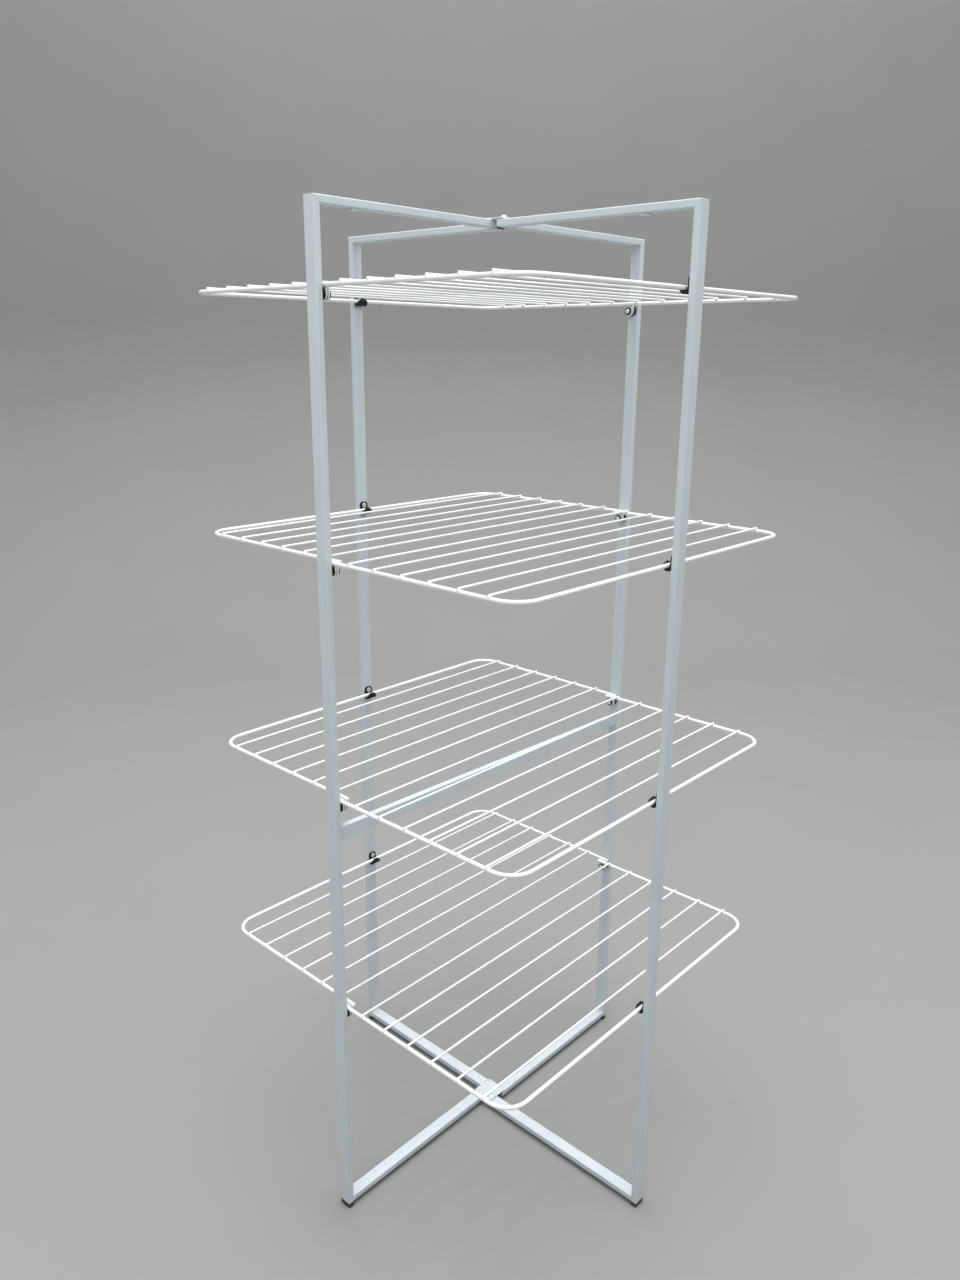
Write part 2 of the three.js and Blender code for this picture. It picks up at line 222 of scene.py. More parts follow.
def wire(bm, path, radius, sides):
    """A round wire along a path, with ends a little rounded over."""
    frames = path_frames(path)
    rings = []
    along, side, up = frames[0]
    for reach, share in WIRE_END:
        rings.append(circle(path[0] + along * reach * radius, side, up, share * radius, sides))
    for point, (_, side, up) in zip(path[1:-1], frames[1:-1]):
        rings.append(circle(point, side, up, radius, sides))
    along, side, up = frames[-1]
    for reach, share in reversed(WIRE_END):
        rings.append(circle(path[-1] - along * reach * radius, side, up, share * radius, sides))
    loft(bm, rings)


def bead(bm, start, end, radius, sides=8):
    """A weld bead between two points: a rippled run whose ends taper off."""
    ripple, step = 1.5 * MM, 0.4 * MM
    tip, narrowing = 0.35, 4  # share of the radius at the ends, and how steeply it grows
    swing, scatter = 0.1, 0.05  # of the ripples, in radii
    length = (end - start).length
    count = max(int(length / step), 4)
    phase = rng.uniform(0, 2 * math.pi)
    along = (end - start).normalized()
    side = along.orthogonal().normalized()
    up = along.cross(side)
    rings = []
    for i in range(count + 1):
        t = i / count
        taper = min(1, tip + narrowing * t, tip + narrowing * (1 - t))
        wave = math.sin(phase + 2 * math.pi * t * length / ripple)
        swell = 1 + swing * wave + rng.uniform(-scatter, scatter)
        rings.append(circle(start.lerp(end, t), side, up, radius * taper * swell, sides))
    loft(bm, rings)


def blob(bm, centre, radii, sides=12, rows=6):
    """A small smooth mound with a small flat at either pole."""
    flat = 0.35  # of a row
    rings = []
    for i in range(rows + 1):
        a = math.pi * (i + flat) / (rows + 2 * flat)
        height = math.cos(a) * radii[2]
        ring = circle(Vector(), Vector((1, 0, 0)), Vector((0, 1, 0)), math.sin(a), sides)
        rings.append([centre + Vector((p.x * radii[0], p.y * radii[1], height)) for p in ring])
    loft(bm, rings)


def rounded_rect(width, depth, radius, steps=4):
    points = []
    corners = ((1, 1), (-1, 1), (-1, -1), (1, -1))
    for quarter, (sx, sy) in enumerate(corners):
        for k in range(steps + 1):
            a = math.pi / 2 * (quarter + k / steps)
            x = sx * (width / 2 - radius) + radius * math.cos(a)
            y = sy * (depth / 2 - radius) + radius * math.sin(a)
            points.append(Vector((x, y, 0)))
    return points


def inset(outline, amount):
    """The outline, drawn in by an amount."""
    result = []
    for i, p in enumerate(outline):
        before = (p - outline[i - 1]).normalized()
        after = (outline[(i + 1) % len(outline)] - p).normalized()
        inwards = Vector((-before.y - after.y, before.x + after.x, 0))
        result.append(p + inwards.normalized() * amount)
    return result


def level(outline, z):
    return [Vector((p.x, p.y, z)) for p in outline]


def slab(bm, outline, low, high, soft, hole=0.0):
    """A plate between two heights, with soft edges and, if one is given, a round hole at its origin."""
    turn = 0.3 * soft  # where the rounding's middle point lies
    near, far = inset(outline, turn), inset(outline, soft)
    rings = [level(far, low), level(near, low + turn), level(outline, low + soft)]
    rings += [level(outline, high - soft), level(near, high - turn), level(far, high)]
    if hole:
        ring = [p.normalized() * hole for p in outline]
        rings += [level(ring, high), level(ring, low)]
    loft(bm, rings, loop=bool(hole))


def lathe(bm, profile, sides=32, loop=False):
    """A profile of (radius, height) points turned about Z."""
    x, y = Vector((1, 0, 0)), Vector((0, 1, 0))
    loft(bm, [circle(Vector((0, 0, z)), x, y, r, sides) for r, z in profile], loop)


def tube(bm, size_x, size_y, length, mitred=False):
    """A thin-walled rectangular tube up Z. A mitred top is cut at 45 degrees, lower on its +X side."""
    inner_round = TUBE_ROUND - 0.7 * WALL
    outer = rounded_rect(size_x, size_y, TUBE_ROUND)
    inner = rounded_rect(size_x - 2 * WALL, size_y - 2 * WALL, inner_round)
    softened = inset(outer, TUBE_SOFT)

    def top(ring, down=0.0):
        slope = 1 if mitred else 0
        return [Vector((p.x, p.y, length - down - slope * (p.x + size_x / 2))) for p in ring]

    rings = [level(outer, TUBE_SOFT), top(outer, TUBE_SOFT), top(softened), top(inner)]
    rings += [level(inner, 0), level(softened, 0)]
    loft(bm, rings, loop=True)


def moved(bm, place, made_from=0):
    """Moves the points made since a count of them was taken."""
    bm.verts.ensure_lookup_table()
    bmesh.ops.transform(bm, matrix=place, verts=bm.verts[made_from:])


def piece(name, bm, finish, body, nodes=(), place=Matrix(), sharp=math.radians(38)):
    """Makes an object of the mesh, in place, with its finish, its body and the CAD nodes it stands for."""
    bm.transform(place)
    bmesh.ops.recalc_face_normals(bm, faces=bm.faces)
    for face in bm.faces:
        face.smooth = True
    for edge in bm.edges:
        edge.smooth = edge.calc_face_angle(math.pi) < sharp
    mesh = bpy.data.meshes.new(name)
    bm.to_mesh(mesh)
    bm.free()
    mesh.materials.append(FINISHES[finish])
    obj = bpy.data.objects.new(name, mesh)
    bpy.context.scene.collection.objects.link(obj)
    normals = obj.modifiers.new("even_shading", "WEIGHTED_NORMAL")
    normals.keep_sharp = True
    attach(obj, body)
    if nodes:
        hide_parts(*nodes)


# ---- finishes ----
def node_of(tree, kind, **inputs):
    node = tree.nodes.new(kind)
    for key, value in inputs.items():
        node.inputs[key.replace("_", " ")].default_value = value
    return node


def new_finish(name, roughness, metallic=0.0, coat=0.0):
    material = bpy.data.materials.new(name)
    material.use_nodes = True
    tree = material.node_tree
    shader = tree.nodes["Principled BSDF"]
    shader.inputs["Roughness"].default_value = roughness
    shader.inputs["Metallic"].default_value = metallic
    shader.inputs["Coat Weight"].default_value = coat
    shader.inputs["Coat Roughness"].default_value = 0.2
    place = tree.nodes.new("ShaderNodeTexCoord").outputs["Object"]
    return material, tree, shader, place


def noise(tree, place, scale, detail, rough=0.5):
    node = node_of(tree, "ShaderNodeTexNoise", Scale=scale, Detail=detail, Roughness=rough)
    tree.links.new(place, node.inputs["Vector"])
    return node.outputs["Fac"]


def spread(tree, value, low, high, to_low=0.0, to_high=1.0):
    node = tree.nodes.new("ShaderNodeMapRange")
    for key, number in (("From Min", low), ("From Max", high), ("To Min", to_low), ("To Max", to_high)):
        node.inputs[key].default_value = number
    tree.links.new(value, node.inputs["Value"])
    return node.outputs["Result"]


def patches_of(tree, place, scale, detail):
    return spread(tree, noise(tree, place, scale, detail), 0.35, 0.65)


def height_of(tree, place):
    node = tree.nodes.new("ShaderNodeSeparateXYZ")
    tree.links.new(place, node.inputs[0])
    return node.outputs["Z"]


def product(tree, a, b):
    node = tree.nodes.new("ShaderNodeMath")
    node.operation = "MULTIPLY"
    tree.links.new(a, node.inputs[0])
    tree.links.new(b, node.inputs[1])
    return node.outputs[0]


def blend_colours(tree, share, a, b):
    node = tree.nodes.new("ShaderNodeMix")
    node.data_type = "RGBA"
    tree.links.new(share, node.inputs["Factor"])
    for socket, colour in ((node.inputs["A"], a), (node.inputs["B"], b)):
        if isinstance(colour, tuple):
            socket.default_value = (*colour, 1)
        else:
            tree.links.new(colour, socket)
    return node.outputs["Result"]


def add_bump(tree, shader, layers):
    """Layers of (height, strength, distance in metres) laid over one another."""
    normal = None
    for height, strength, distance in layers:
        node = node_of(tree, "ShaderNodeBump", Strength=strength, Distance=distance)
        tree.links.new(height, node.inputs["Height"])
        if normal:
            tree.links.new(normal, node.inputs["Normal"])
        normal = node.outputs["Normal"]
    tree.links.new(normal, shader.inputs["Normal"])


def painted_steel():
    """Light blue-grey powder coat, with specks and, near the floor, dust."""
    material, tree, shader, place = new_finish("painted_steel", 0.42)
    patches = patches_of(tree, place, 9, 4)
    grain = spread(tree, noise(tree, place, 700, 2), 0.3, 0.7)
    colour = blend_colours(tree, patches, PAINT, PAINT_PATCH)
    colour = blend_colours(tree, spread(tree, grain, 0, 1, 0, 0.25), colour, PAINT_GRAIN)
    specks = spread(tree, noise(tree, place, 260, 6, 0.7), 0.66, 0.73, 0, 0.55)
    colour = blend_colours(tree, specks, colour, PAINT_SPECK)
    low_down = spread(tree, height_of(tree, place), 0, PAINT_DUST_TOP, 1, 0)
    dust = product(tree, low_down, spread(tree, noise(tree, place, 240, 6, 0.7), 0.5, 0.72, 0, 0.6))
    colour = blend_colours(tree, dust, colour, PAINT_DUST)
    tree.links.new(colour, shader.inputs["Base Color"])
    tree.links.new(spread(tree, patches, 0, 1, 0.38, 0.48), shader.inputs["Roughness"])
    fine, broad = noise(tree, place, 900, 2), noise(tree, place, 140, 2)
    add_bump(tree, shader, ((fine, 0.12, 0.00012), (broad, 0.1, 0.0004)))
    return material


def coated_wire():
    """Slightly glossy white coating, with a few faint marks."""
    material, tree, shader, place = new_finish("coated_wire", 0.3, coat=0.25)
    patches = patches_of(tree, place, 14, 4)
    colour = blend_colours(tree, patches, COATING, COATING_PATCH)
    specks = spread(tree, noise(tree, place, 330, 6, 0.7), 0.71, 0.77, 0, 0.4)
    colour = blend_colours(tree, specks, colour, COATING_SPECK)
    tree.links.new(colour, shader.inputs["Base Color"])
    tree.links.new(spread(tree, patches, 0, 1, 0.26, 0.36), shader.inputs["Roughness"])
    fine, broad = noise(tree, place, 500, 2), noise(tree, place, 90, 2)
    add_bump(tree, shader, ((fine, 0.08, 0.00012), (broad, 0.12, 0.0005)))
    return material


def black_plastic():
    """Satin moulded plastic, dusty in places and greyer on the feet."""
    material, tree, shader, place = new_finish("black_plastic", 0.5)
    shader.inputs["Specular IOR Level"].default_value = 0.3
    patches = patches_of(tree, place, 120, 4)
    colour = blend_colours(tree, patches, PLASTIC, PLASTIC_PATCH)
    dusty = spread(tree, noise(tree, place, 400, 6, 0.65), 0.55, 0.8, 0, 0.2)
    colour = blend_colours(tree, dusty, colour, PLASTIC_DUST)
    on_feet = spread(tree, height_of(tree, place), FOOT_GREY_LOW, FOOT_GREY_TOP, 0.75, 0)
    colour = blend_colours(tree, on_feet, colour, FOOT_GREY)
    tree.links.new(colour, shader.inputs["Base Color"])
    tree.links.new(spread(tree, patches, 0, 1, 0.42, 0.58), shader.inputs["Roughness"])
    add_bump(tree, shader, ((noise(tree, place, 1500, 2), 0.2, 0.0001),))
    return material


def rivet_metal():
    """Bright plain metal, a little uneven."""
    material, tree, shader, place = new_finish("rivet_metal", 0.3, metallic=0.65)
    patches = patches_of(tree, place, 300, 5)
    colour = blend_colours(tree, patches, METAL, METAL_PATCH)
    tree.links.new(colour, shader.inputs["Base Color"])
    tree.links.new(spread(tree, patches, 0, 1, 0.24, 0.40), shader.inputs["Roughness"])
    add_bump(tree, shader, ((noise(tree, place, 1800, 3), 0.15, 0.0001),))
    return material


FINISHES = {make.__name__: make() for make in (painted_steel, coated_wire, black_plastic, rivet_metal)}


# ---- the tube frame ----
RAIL_TURN = Matrix(((0, 0, -1, 0), (0, -1, 0, 0), (-1, 0, 0, 0), (0, 0, 0, 1)))  # lays a tube along -X


def make_post(name, own_frame, body):
    low, high = box_in(f"{name}_post", own_frame)
    bm = bmesh.new()
    tube(bm, TUBE_THIN, TUBE_WIDE, high.z - low.z, mitred=True)
    moved(bm, Matrix.Translation(((low.x + high.x) / 2, (low.y + high.y) / 2, low.z)))
    piece(f"{name}_post_tube", bm, "painted_steel", body, [f"{name}_post"], own_frame)


def make_rail(name, which, own_frame, body):
    node = f"{name}_{which}_rail"
    low, high = box_in(node, own_frame)
    bm = bmesh.new()
    tube(bm, TUBE_THIN, TUBE_WIDE, high.x - low.x, mitred=which == "top")
    place = Matrix.Translation((high.x, (low.y + high.y) / 2, (low.z + high.z) / 2))
    moved(bm, place @ RAIL_TURN)
    piece(f"{node}_tube", bm, "painted_steel", body, [node], own_frame)


def make_foot(name, own_frame, body):
    """A moulded cap under the post: a foot, a narrower neck and a plug in the tube."""
    node = f"{name}_foot_cap"
    low, high = box_in(node, own_frame)
    post_low, _ = box_in(f"{name}_post", own_frame)
    middle = (low + high) / 2
    bm = bmesh.new()
    outline = rounded_rect(high.x - low.x, high.y - low.y, FOOT_CORNER, 6)
    slab(bm, outline, 0, post_low.z - FOOT_NECK, FOOT_SOFT)
    neck = inset(outline, FOOT_NECK_INSET)
    slab(bm, neck, post_low.z - 2 * FOOT_NECK, post_low.z - 0.1 * MM, 0.2 * MM)
    walls = 2.4 * WALL  # both walls of the tube, with some play
    plug = rounded_rect(TUBE_THIN - walls, TUBE_WIDE - walls, PLUG_CORNER)
    slab(bm, plug, post_low.z - 1 * MM, high.z, 0.3 * MM)
    moved(bm, Matrix.Translation((middle.x, middle.y, 0)))
    piece(f"{node}_moulding", bm, "black_plastic", body, [node], own_frame)


def make_arm_welds(name, own_frame, body):
    """Beads where the rails meet the post. The outer side of the mitre is ground nearly flush."""
    post_low, post_high = box_in(f"{name}_post", own_frame)
    rail_low, rail_high = box_in(f"{name}_bottom_rail", own_frame)
    bm = bmesh.new()
    left, right = post_low.y + POST_BEAD_MARGIN, post_high.y - POST_BEAD_MARGIN
    inner_x = post_high.x
    beside = inner_x + BEAD_OFFSET
    under = post_high.z - TUBE_THIN
    below = under - BEAD_OFFSET
    bead(bm, Vector((beside, left, below)), Vector((beside, right, below)), INNER_CORNER_BEAD)
    seam_sink = 0.42 * MM
    seam_start = 1.2 * MM  # from the mitre's outer corner
    for y, inwards in ((post_low.y, 1), (post_high.y, -1)):
        seam_y = y + inwards * seam_sink
        outer = Vector((post_low.x + seam_start, seam_y, post_high.z - seam_start))
        bead(bm, outer, Vector((inner_x - BEAD_OFFSET, seam_y, under + BEAD_OFFSET)), MITRE_BEAD)
        foot = Vector((inner_x + 0.1 * MM, y + inwards * BEAD_OFFSET, rail_low.z + BEAD_MARGIN))
        bead(bm, foot, foot + Vector((0, 0, TUBE_THIN - 1.5 * BEAD_MARGIN)), RAIL_SIDE_BEAD)
    top = rail_high.z
    bead(bm, Vector((beside, left, top)), Vector((beside, right, top)), RAIL_TOP_BEAD)
    piece(f"{name}_frame_welds", bm, "painted_steel", body, (), own_frame)


def make_brace():
    low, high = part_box("middle_brace")
    bm = bmesh.new()
    tube(bm, TUBE_WIDE, TUBE_THIN, high.x - low.x)
    along_x = Matrix.Rotation(math.pi / 2, 4, "Y")
    moved(bm, Matrix.Translation((low.x, 0, (low.z + high.z) / 2)) @ along_x)
    piece("middle_brace_tube", bm, "painted_steel", "main_frame", ["middle_brace"])
    bm = bmesh.new()
    across = Vector((0, TUBE_THIN - 2 * BEAD_MARGIN, 0))
    upright = Vector((0, 0, TUBE_WIDE - 2 * BEAD_MARGIN))
    for end_x in (low.x - 0.1 * MM, high.x + 0.1 * MM):
        for z in (low.z, high.z):
            start = Vector((end_x, low.y + BEAD_MARGIN, z))
            bead(bm, start, start + across, BRACE_BEAD)
        for y in (low.y, high.y):
            start = Vector((end_x, y, low.z + BEAD_MARGIN))
            bead(bm, start, start + upright, BRACE_BEAD)
    piece("middle_brace_welds", bm, "painted_steel", "main_frame")


def soften_cad(node):
    """Rounds a CAD plate's edges over and gives it its finish."""
    obj = frame["nodes"][node]
    obj.data.materials.clear()
    obj.data.materials.append(FINISHES["painted_steel"])
    bevel = obj.modifiers.new("soft_edges", "BEVEL")
    bevel.width = PLATE_SOFT
    bevel.segments = 3
    bevel.limit_method = "ANGLE"
    bevel.harden_normals = True


def make_plate_welds():
    """Short beads where the two centre plates lie on the main frame's rails."""
    first, run = 2 * MM, TUBE_WIDE - 7 * MM  # a bead's distance from the middle, and its length
    bm = bmesh.new()
    for level_name in ("top", "bottom"):
        low, high = box_in(f"{level_name}_centre_plate", tubes_frame)
        for sign, x in ((1, low.x), (-1, high.x)):
            start = Vector((x - sign * BEAD_OFFSET, sign * first, low.z + BEAD_OFFSET))
            bead(bm, start, start + Vector((0, sign * run, 0)), PLATE_BEAD)
    piece("centre_plate_welds", bm, "painted_steel", "main_frame", (), tubes_frame)


for arm, (turn, arm_body) in ARMS.items():
    arm_frame = tubes_frame @ Matrix.Rotation(math.radians(turn), 4, "Z")
    make_post(arm, arm_frame, arm_body)
    make_rail(arm, "top", arm_frame, arm_body)
    make_rail(arm, "bottom", arm_frame, arm_body)
    make_foot(arm, arm_frame, arm_body)
    make_arm_welds(arm, arm_frame, arm_body)
make_brace()
make_plate_welds()
for cad_plate in ("top_centre_plate", "bottom_centre_plate", "left_catch_tab", "front_gate_catch_tab"):
    soften_cad(cad_plate)


# ---- rivets and hinge parts ----
def rivet_profile(head_radius, head_height, grip):
    """A blind rivet on z = 0: a dome with the snapped-off mandrel sunk in it, a shaft and a bulb."""
    bulb_end = -grip - BULB_LENGTH
    profile = [(0.3 * MM, bulb_end), (0.7 * BULB_RADIUS, bulb_end + 0.2 * MM)]
    profile += [(BULB_RADIUS, bulb_end + 1.2 * MM), (BULB_RADIUS, -grip - 0.6 * MM)]
    profile += [(SHAFT_RADIUS, -grip), (SHAFT_RADIUS, 0), (0.96 * head_radius, 0)]
    rim = 0.14 * head_height
    profile += [(head_radius, 0.5 * rim), (head_radius, rim)]
    steps = 8
    full_rise = math.sin(math.radians(DOME_DEGREES))
    for i in range(1, steps + 1):
        a = math.radians(DOME_DEGREES * i / steps)
        rise = (head_height - rim) * math.sin(a) / full_rise
        profile.append((head_radius * math.cos(a), rim + rise))
    eye = EYE_SHARE * head_radius
    return profile + [(share * eye, height * head_height) for share, height in MANDREL]


def make_rivet(name, place, head_radius, head_height, grip, body, node):
    bm = bmesh.new()
    lathe(bm, rivet_profile(head_radius, head_height, grip))
    piece(name, bm, "rivet_metal", body, [node], place)


def ring_profile(outer, low, high, soft):
    """A washer round a hinge rivet."""
    profile = [(HOLE_RADIUS, low), (outer - soft, low), (outer, low + soft), (outer, high - soft)]
    return profile + [(outer - soft, high), (HOLE_RADIUS, high)]


def bush_profile(outer, length):
    """A bush round a hinge rivet: a flange at either end, and a narrower waist."""
    profile = [(HOLE_RADIUS, 0), (outer - BUSH_SOFT, 0), (outer, BUSH_SOFT), (outer, BUSH_FLANGE)]
    profile.append((outer - BUSH_WAIST, BUSH_FLANGE + BUSH_SOFT))
    return profile + [(radius, length - z) for radius, z in reversed(profile)]


def make_shelf_hinge(side, turn, number):
    """On a fixed post: the rivet that carries both halves' ears, its collar, a washer and a bush."""
    node = f"{side}_shelf_rivet_{number}"
    spacer = f"{side}_shelf_spacer_{number}"
    along_x = Matrix.Rotation(math.radians(turn), 4, "Z")
    centre_z = TIERS[number - 1] - HINGE_DROP
    rivet_low, rivet_high = box_in(node, along_x)
    spacer_low, spacer_high = box_in(spacer, along_x)
    head_base = rivet_low.x + HEAD_HEIGHT
    dome_base = head_base - COLLAR_HEIGHT
    grip = rivet_high.x - head_base - BULB_LENGTH + COLLAR_HEIGHT
    turned = Matrix.Rotation(math.pi / 2, 4, "Y")
    upside_down = Matrix.Rotation(math.pi, 4, "X")
    post_side = Matrix.Translation((0, 0, centre_z)) @ along_x
    facing_in = post_side @ Matrix.Translation((dome_base, 0, 0)) @ turned @ upside_down
    make_rivet(f"{node}_domed", facing_in, HINGE_HEAD_RADIUS, HINGE_HEAD_HEIGHT, grip, "main_frame", node)
    bm = bmesh.new()
    lathe(bm, bush_profile(spacer_high.z - centre_z, spacer_high.x - spacer_low.x), loop=True)
    place = post_side @ Matrix.Translation((spacer_low.x, 0, 0)) @ turned
    piece(f"{spacer}_bush", bm, "black_plastic", "main_frame", [spacer], place)
    bm = bmesh.new()
    ears = sorted((ear_x(0), ear_x(1)))
    low, high = ears[0] + EAR_THICK / 2 + WASHER_PLAY, ears[1] - EAR_THICK / 2 - WASHER_PLAY
    lathe(bm, ring_profile(WASHER_RADIUS, low, high, WASHER_SOFT), loop=True)
    low, high = dome_base + 0.05 * MM, ears[0] - EAR_THICK / 2 - 0.1 * MM
    lathe(bm, ring_profile(COLLAR_RADIUS, low, high, COLLAR_SOFT), loop=True)
    piece(f"{side}_shelf_washers_{number}", bm, "black_plastic", "main_frame", (), post_side @ turned)


def ear_x(outer):
    """Distance of an ear's middle plane from the crossing: 1 for a post's outer ear, 0 for the inner."""
    if outer:
        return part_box("right_shelf_spacer_1")[0].x - EAR_MIDDLE
    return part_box("right_shelf_rivet_1")[0].x + HEAD_HEIGHT + EAR_MIDDLE


for shelf_number in (1, 2, 3, 4):
    make_shelf_hinge("left", 180, shelf_number)
    make_shelf_hinge("right", 0, shelf_number)
for level_name in ("top", "bottom"):
    for gate in ("rear_gate", "front_gate"):
        rivet_node = f"{gate}_{level_name}_rivet"
        rivet_low, rivet_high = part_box(rivet_node)
        middle = (rivet_low + rivet_high) / 2
        stand = Matrix.Translation((middle.x, middle.y, rivet_high.z - HEAD_HEIGHT))
        grip = rivet_high.z - rivet_low.z - HEAD_HEIGHT - BULB_LENGTH
        owner = next(body for body, nodes in bodies.items() if rivet_node in nodes)
        make_rivet(f"{rivet_node}_domed", stand, HEAD_RADIUS, HEAD_HEIGHT, grip, owner, rivet_node)


# ---- half shelves ----
def rim_path(left, right, far):
    """From one hinge point out along one side, across the far side and back, with bent corners."""
    back = Vector((0, RIM_PAST_HINGE, 0))
    points = [left - back, Vector((left.x, far - RIM_CORNER, 0))]
    steps = 14
    centre_y = far - RIM_CORNER
    for centre_x, start in ((left.x + RIM_CORNER, math.pi), (right.x - RIM_CORNER, math.pi / 2)):
        for k in range(1, steps + 1):
            a = start - math.pi / 2 * k / steps
            x, y = centre_x + RIM_CORNER * math.cos(a), centre_y + RIM_CORNER * math.sin(a)
            points.append(Vector((x, y, 0)))
        if start == math.pi:
            points.append(Vector((right.x - RIM_CORNER, far, 0)))
    points.append(right - back)
    return points


def ear(bm, x):
    """A pierced lug, welded on the -X side of a rim wire."""
    made_from = len(bm.verts)
    top = HINGE_DROP + EAR_TOP
    around, side_steps, top_steps = 16, 5, 8
    outline = []
    for k in range(around + 1):
        a = math.pi + math.pi * k / around
        outline.append(Vector((EAR_RADIUS * math.cos(a), EAR_RADIUS * math.sin(a), 0)))
    for k in range(side_steps):
        outline.append(Vector((EAR_RADIUS, top * (k + 1) / side_steps, 0)))
    for k in range(1, top_steps):
        outline.append(Vector((EAR_RADIUS - 2 * EAR_RADIUS * k / top_steps, top, 0)))
    for k in range(side_steps):
        outline.append(Vector((-EAR_RADIUS, top * (side_steps - k) / side_steps, 0)))
    slab(bm, outline, -EAR_THICK / 2, EAR_THICK / 2, EAR_SOFT, HOLE_RADIUS)
    upright = Matrix(((0, 0, 1, x), (1, 0, 0, 0), (0, 1, 0, -HINGE_DROP), (0, 0, 0, 1)))
    moved(bm, upright, made_from)
    face = EAR_THICK / 2
    run = Vector((0, 2 * EAR_RADIUS - 2 * BEAD_MARGIN, 0))
    for sideways, z in ((face + 0.5 * MM, -2.2 * MM), (face - 0.1 * MM, EAR_TOP + 0.1 * MM)):
        start = Vector((x + sideways, -EAR_RADIUS + BEAD_MARGIN, z))
        bead(bm, start, start + run, EAR_BEAD)


def make_half_shelf(side, number, place):
    """Wires parallel to the tubes, welded to ears that are square to the hinge line."""
    node = f"{side}_half_shelf_{number}"
    far = box_in("rear_half_shelf_1", tubes_frame)[1].y - RIM_RADIUS
    hinges = (-ear_x(0) + EAR_BESIDE, ear_x(1) + EAR_BESIDE)
    left, right = [tubes_frame.inverted() @ Vector((x, 0, 0)) for x in hinges]
    bm = bmesh.new()
    wire(bm, rim_path(left, right, far), RIM_RADIUS, 20)
    slat_z = RIM_RADIUS + SLAT_RADIUS - SLAT_SINK
    for i in range(SLATS):
        y = FIRST_SLAT + i * SLAT_PITCH + rng.uniform(-SLAT_SCATTER, SLAT_SCATTER)
        start_x = left.x - SLAT_PAST_RIM + rng.uniform(0, SLAT_END_SCATTER)
        end_x = right.x + SLAT_PAST_RIM - rng.uniform(0, SLAT_END_SCATTER)
        wire(bm, [Vector((start_x, y, slat_z)), Vector((end_x, y, slat_z))], SLAT_RADIUS, 14)
        for x in (left.x, right.x):
            blob(bm, Vector((x, y, RIM_RADIUS - 0.1 * MM)), MOUND)
    bm.transform(tubes_frame)
    ear(bm, -ear_x(0))
    ear(bm, ear_x(1))
    tier = Matrix.Translation((0, 0, TIERS[number - 1]))
    piece(f"{node}_wires", bm, "coated_wire", f"{side}_shelf_{number}", [node], tier @ place)


for shelf_number in (1, 2, 3, 4):
    make_half_shelf("rear", shelf_number, Matrix())
    make_half_shelf("front", shelf_number, half_turn)


# ---- clips ----
def smooth(t):
    """Eases from 0 to 1 as t does."""
    t = min(max(t, 0), 1)
    return t * t * (3 - 2 * t)


def clip_section(y_share, half, tab_top, back):
    """The clip's outline at one place across its width, from the tab's top round the hook and back."""
    edge = CLIP_SIDE_SOFT.get(abs(y_share), 0)
    bulge = math.sqrt(max(1 - y_share**2, 0))
    over = max(abs(y_share) * half - (half - CLIP_TAB_CORNER), 0)
    rise = tab_top - edge - CLIP_TAB_CORNER + math.sqrt(max(CLIP_TAB_CORNER**2 - over**2, 0))
    sweep = math.pi - HOOK_EDGE_SHORT + HOOK_TIP_REACH * bulge
    steps = 22
    flared_at = 0.45 * math.pi  # the hook has its full width from here on
    snug_at = 1.4
    tip = 1.05  # the hook's rounded tip lies here, in shares of the sweep

    def point(radius, share):
        a = math.pi + sweep * share
        flare = 1 + HOOK_FLARE * smooth(sweep * share / flared_at)
        return Vector((radius(a) * math.cos(a), y_share * half * flare, radius(a) * math.sin(a)))

    def outer(a):
        depth = CLIP_OUTER_RADIUS + HOOK_EXTRA - edge
        if a >= 1.5 * math.pi:
            return depth
        across = abs(math.cos(a)) / (-back - edge)
        down = abs(math.sin(a)) / depth
        return (across**HOOK_SQUARENESS + down**HOOK_SQUARENESS) ** (-1 / HOOK_SQUARENESS)

    def inner(a):
        return CLIP_INNER_RADIUS - HOOK_SNUG * smooth((a - math.pi) / snug_at) + edge

    y = y_share * half
    front = back + CLIP_TAB_THICK - edge
    wall = -CLIP_INNER_RADIUS - edge
    ring = [Vector((back, y, rise - CLIP_TAB_SOFT)), Vector((back, y, 0.5 * rise))]
    ring += [point(outer, k / steps) for k in range(steps + 1)]
    ring.append(point(lambda a: (outer(a) + inner(a)) / 2, tip))
    ring += [point(inner, k / steps) for k in range(steps, -1, -1)]
    ring += [Vector((wall, y, 0.25 * rise)), Vector((front, y, 0.4 * rise))]
    ring += [Vector((front, y, rise - CLIP_TAB_SOFT)), Vector(((back + front) / 2, y, rise))]
    return ring


def make_clip(gate, number):
    """A moulded hook round the rim wire: a tab with an eyelet, and a half-moon finger under the wire."""
    turn, body = ARMS[f"{gate}_gate"]
    own_frame = tubes_frame @ Matrix.Rotation(math.radians(turn), 4, "Z")
    node = f"{gate}_shelf_clip_{number}"
    low, high = box_in(node, own_frame)
    z = TIERS[number - 1]
    tab_top = high.z - z
    half = (high.y - low.y) / 2
    wire_x = RIM_RADIUS - box_in("rear_half_shelf_1", tubes_frame)[1].y
    back = low.x + CLIP_POST_GAP - wire_x
    shares = [-share for share in reversed(CLIP_STOPS)] + [0] + CLIP_STOPS
    bm = bmesh.new()
    loft(bm, [clip_section(share, half, tab_top, back) for share in shares])
    place = own_frame @ Matrix.Translation((wire_x, (low.y + high.y) / 2, z))
    piece(f"{node}_moulding", bm, "black_plastic", body, [node], place)
    bm = bmesh.new()
    lathe(bm, EYELET, loop=True)
    stand = Matrix.Translation((back + CLIP_TAB_THICK, 0, CLIP_RIVET_SHARE * tab_top))
    turned = Matrix.Rotation(math.pi / 2, 4, "Y")
    piece(f"{gate}_clip_rivet_{number}", bm, "rivet_metal", body, (), place @ stand @ turned)


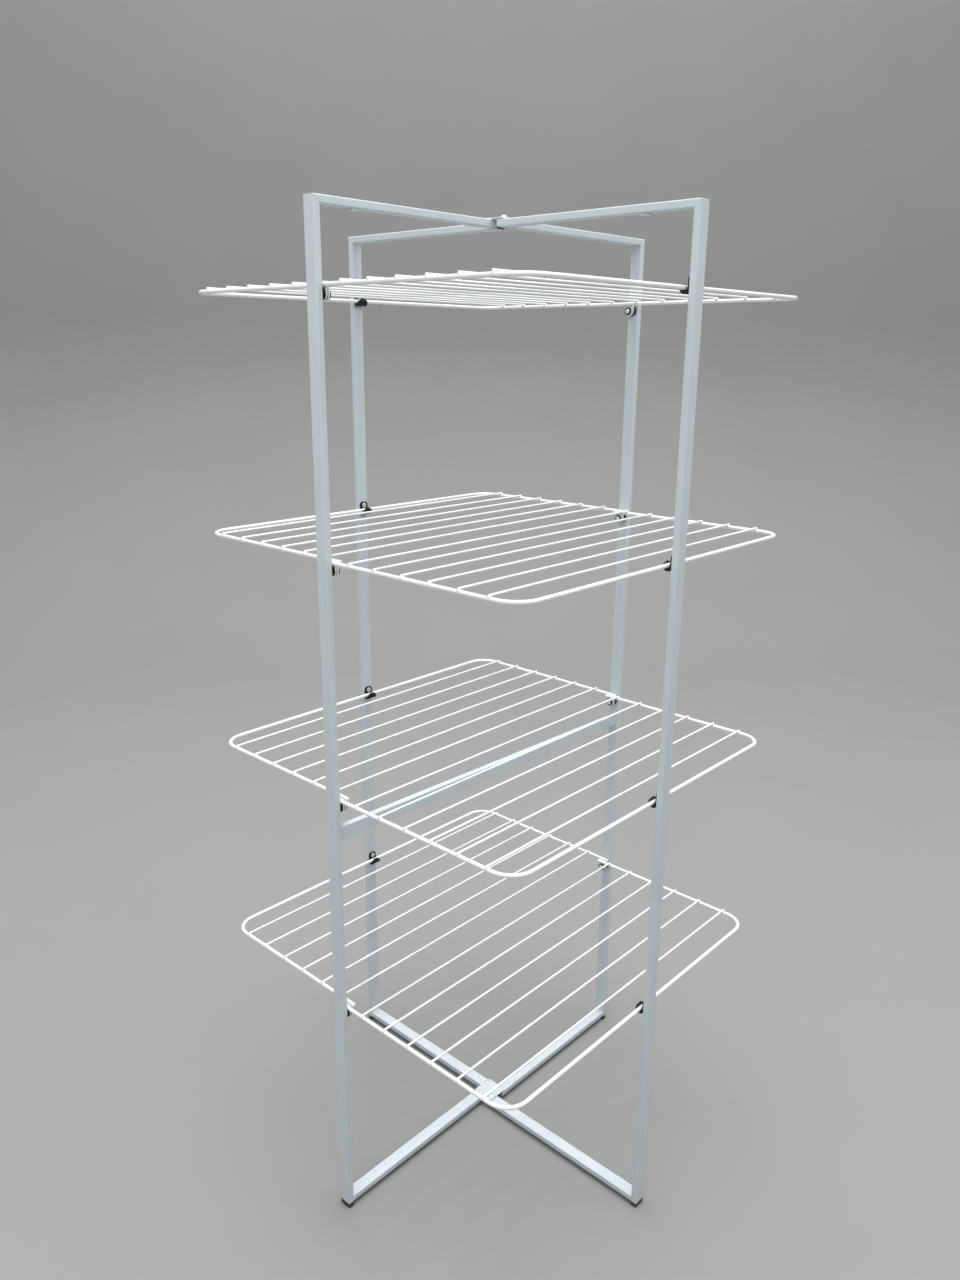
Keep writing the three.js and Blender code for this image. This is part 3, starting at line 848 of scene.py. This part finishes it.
for shelf_number in (1, 2, 3, 4):
    make_clip("rear", shelf_number)
    make_clip("front", shelf_number)


# ---- floor, light and camera ----
def stage_material():
    material, tree, shader, place = new_finish("stage_grey", 0.85)
    shade = spread(tree, noise(tree, place, 3, 3), 0.3, 0.7)
    darker = tuple(STAGE_SHADE * part for part in STAGE_GREY)
    tree.links.new(blend_colours(tree, shade, STAGE_GREY, darker), shader.inputs["Base Color"])
    return material


def make_stage():
    """A plain floor that runs up into a backdrop."""
    bm = bmesh.new()
    half_width, reach, bend, height = 6.0, 4.0, 1.5, 5.0
    steps = 16
    profile = [(-reach, 0.0)]
    for k in range(steps + 1):
        a = math.pi / 2 * k / steps
        profile.append((reach - bend + bend * math.sin(a), bend - bend * math.cos(a)))
    profile.append((reach, height))
    rows = [[bm.verts.new((x, y, z)) for y, z in profile] for x in (-half_width, half_width)]
    for i in range(len(profile) - 1):
        bm.faces.new((rows[0][i], rows[1][i], rows[1][i + 1], rows[0][i + 1])).smooth = True
    mesh = bpy.data.meshes.new("stage_floor")
    bm.to_mesh(mesh)
    bm.free()
    mesh.materials.append(stage_material())
    floor = bpy.data.objects.new("stage_floor", mesh)
    floor.rotation_euler.z = -math.radians(45)
    bpy.context.scene.collection.objects.link(floor)


def make_lights():
    world = bpy.data.worlds.new("studio")
    world.use_nodes = True
    background = world.node_tree.nodes["Background"]
    background.inputs["Color"].default_value = (0.95, 0.98, 1.0, 1)
    background.inputs["Strength"].default_value = 0.45
    bpy.context.scene.world = world
    lights = (  # name, place, size, power, colour
        ("key", (-1.9, -0.7, 2.5), 1.4, 22, (1.0, 0.99, 0.98)),
        ("fill", (0.7, -1.9, 2.4), 1.4, 13, (0.97, 0.985, 1.0)),
        ("sky", (0.4, 0.3, 8.0), 5.0, 760, (0.985, 0.99, 1.0)),
    )
    aimed_at = Vector((0, 0, 0.7))
    for name, place, size, power, colour in lights:
        data = bpy.data.lights.new(name, "AREA")
        data.shape = "SQUARE"
        data.size = size
        data.energy = power
        data.color = colour
        lamp = bpy.data.objects.new(name, data)
        lamp.location = place
        aim = aimed_at - Vector(place)
        lamp.rotation_euler = aim.to_track_quat("-Z", "Y").to_euler()
        bpy.context.scene.collection.objects.link(lamp)


def make_camera():
    """At eye height, a little above the second tier, looking along the diagonal and slightly down."""
    place = Vector((-1.10398, -1.04098, 1.3235))
    heading = Vector((0.71624, 0.69786, 0)).normalized()
    pitch, roll = math.radians(16.305), math.radians(-0.49)
    forward = heading * math.cos(pitch) - Vector((0, 0, math.sin(pitch)))
    right = Vector((heading.y, -heading.x, 0))
    down = forward.cross(right)
    x_axis = math.cos(roll) * right + math.sin(roll) * down
    y_axis = math.sin(roll) * right - math.cos(roll) * down
    turn = Matrix((x_axis, y_axis, -forward)).transposed()
    data = bpy.data.cameras.new("camera")
    data.sensor_width = 36
    data.lens = 27.89
    data.clip_start, data.clip_end = 0.05, 50
    camera = bpy.data.objects.new("camera", data)
    camera.matrix_world = Matrix.Translation(place) @ turn.to_4x4()
    bpy.context.scene.collection.objects.link(camera)
    bpy.context.scene.camera = camera


make_stage()
make_lights()
make_camera()
bpy.context.scene.view_settings.view_transform = "Standard"
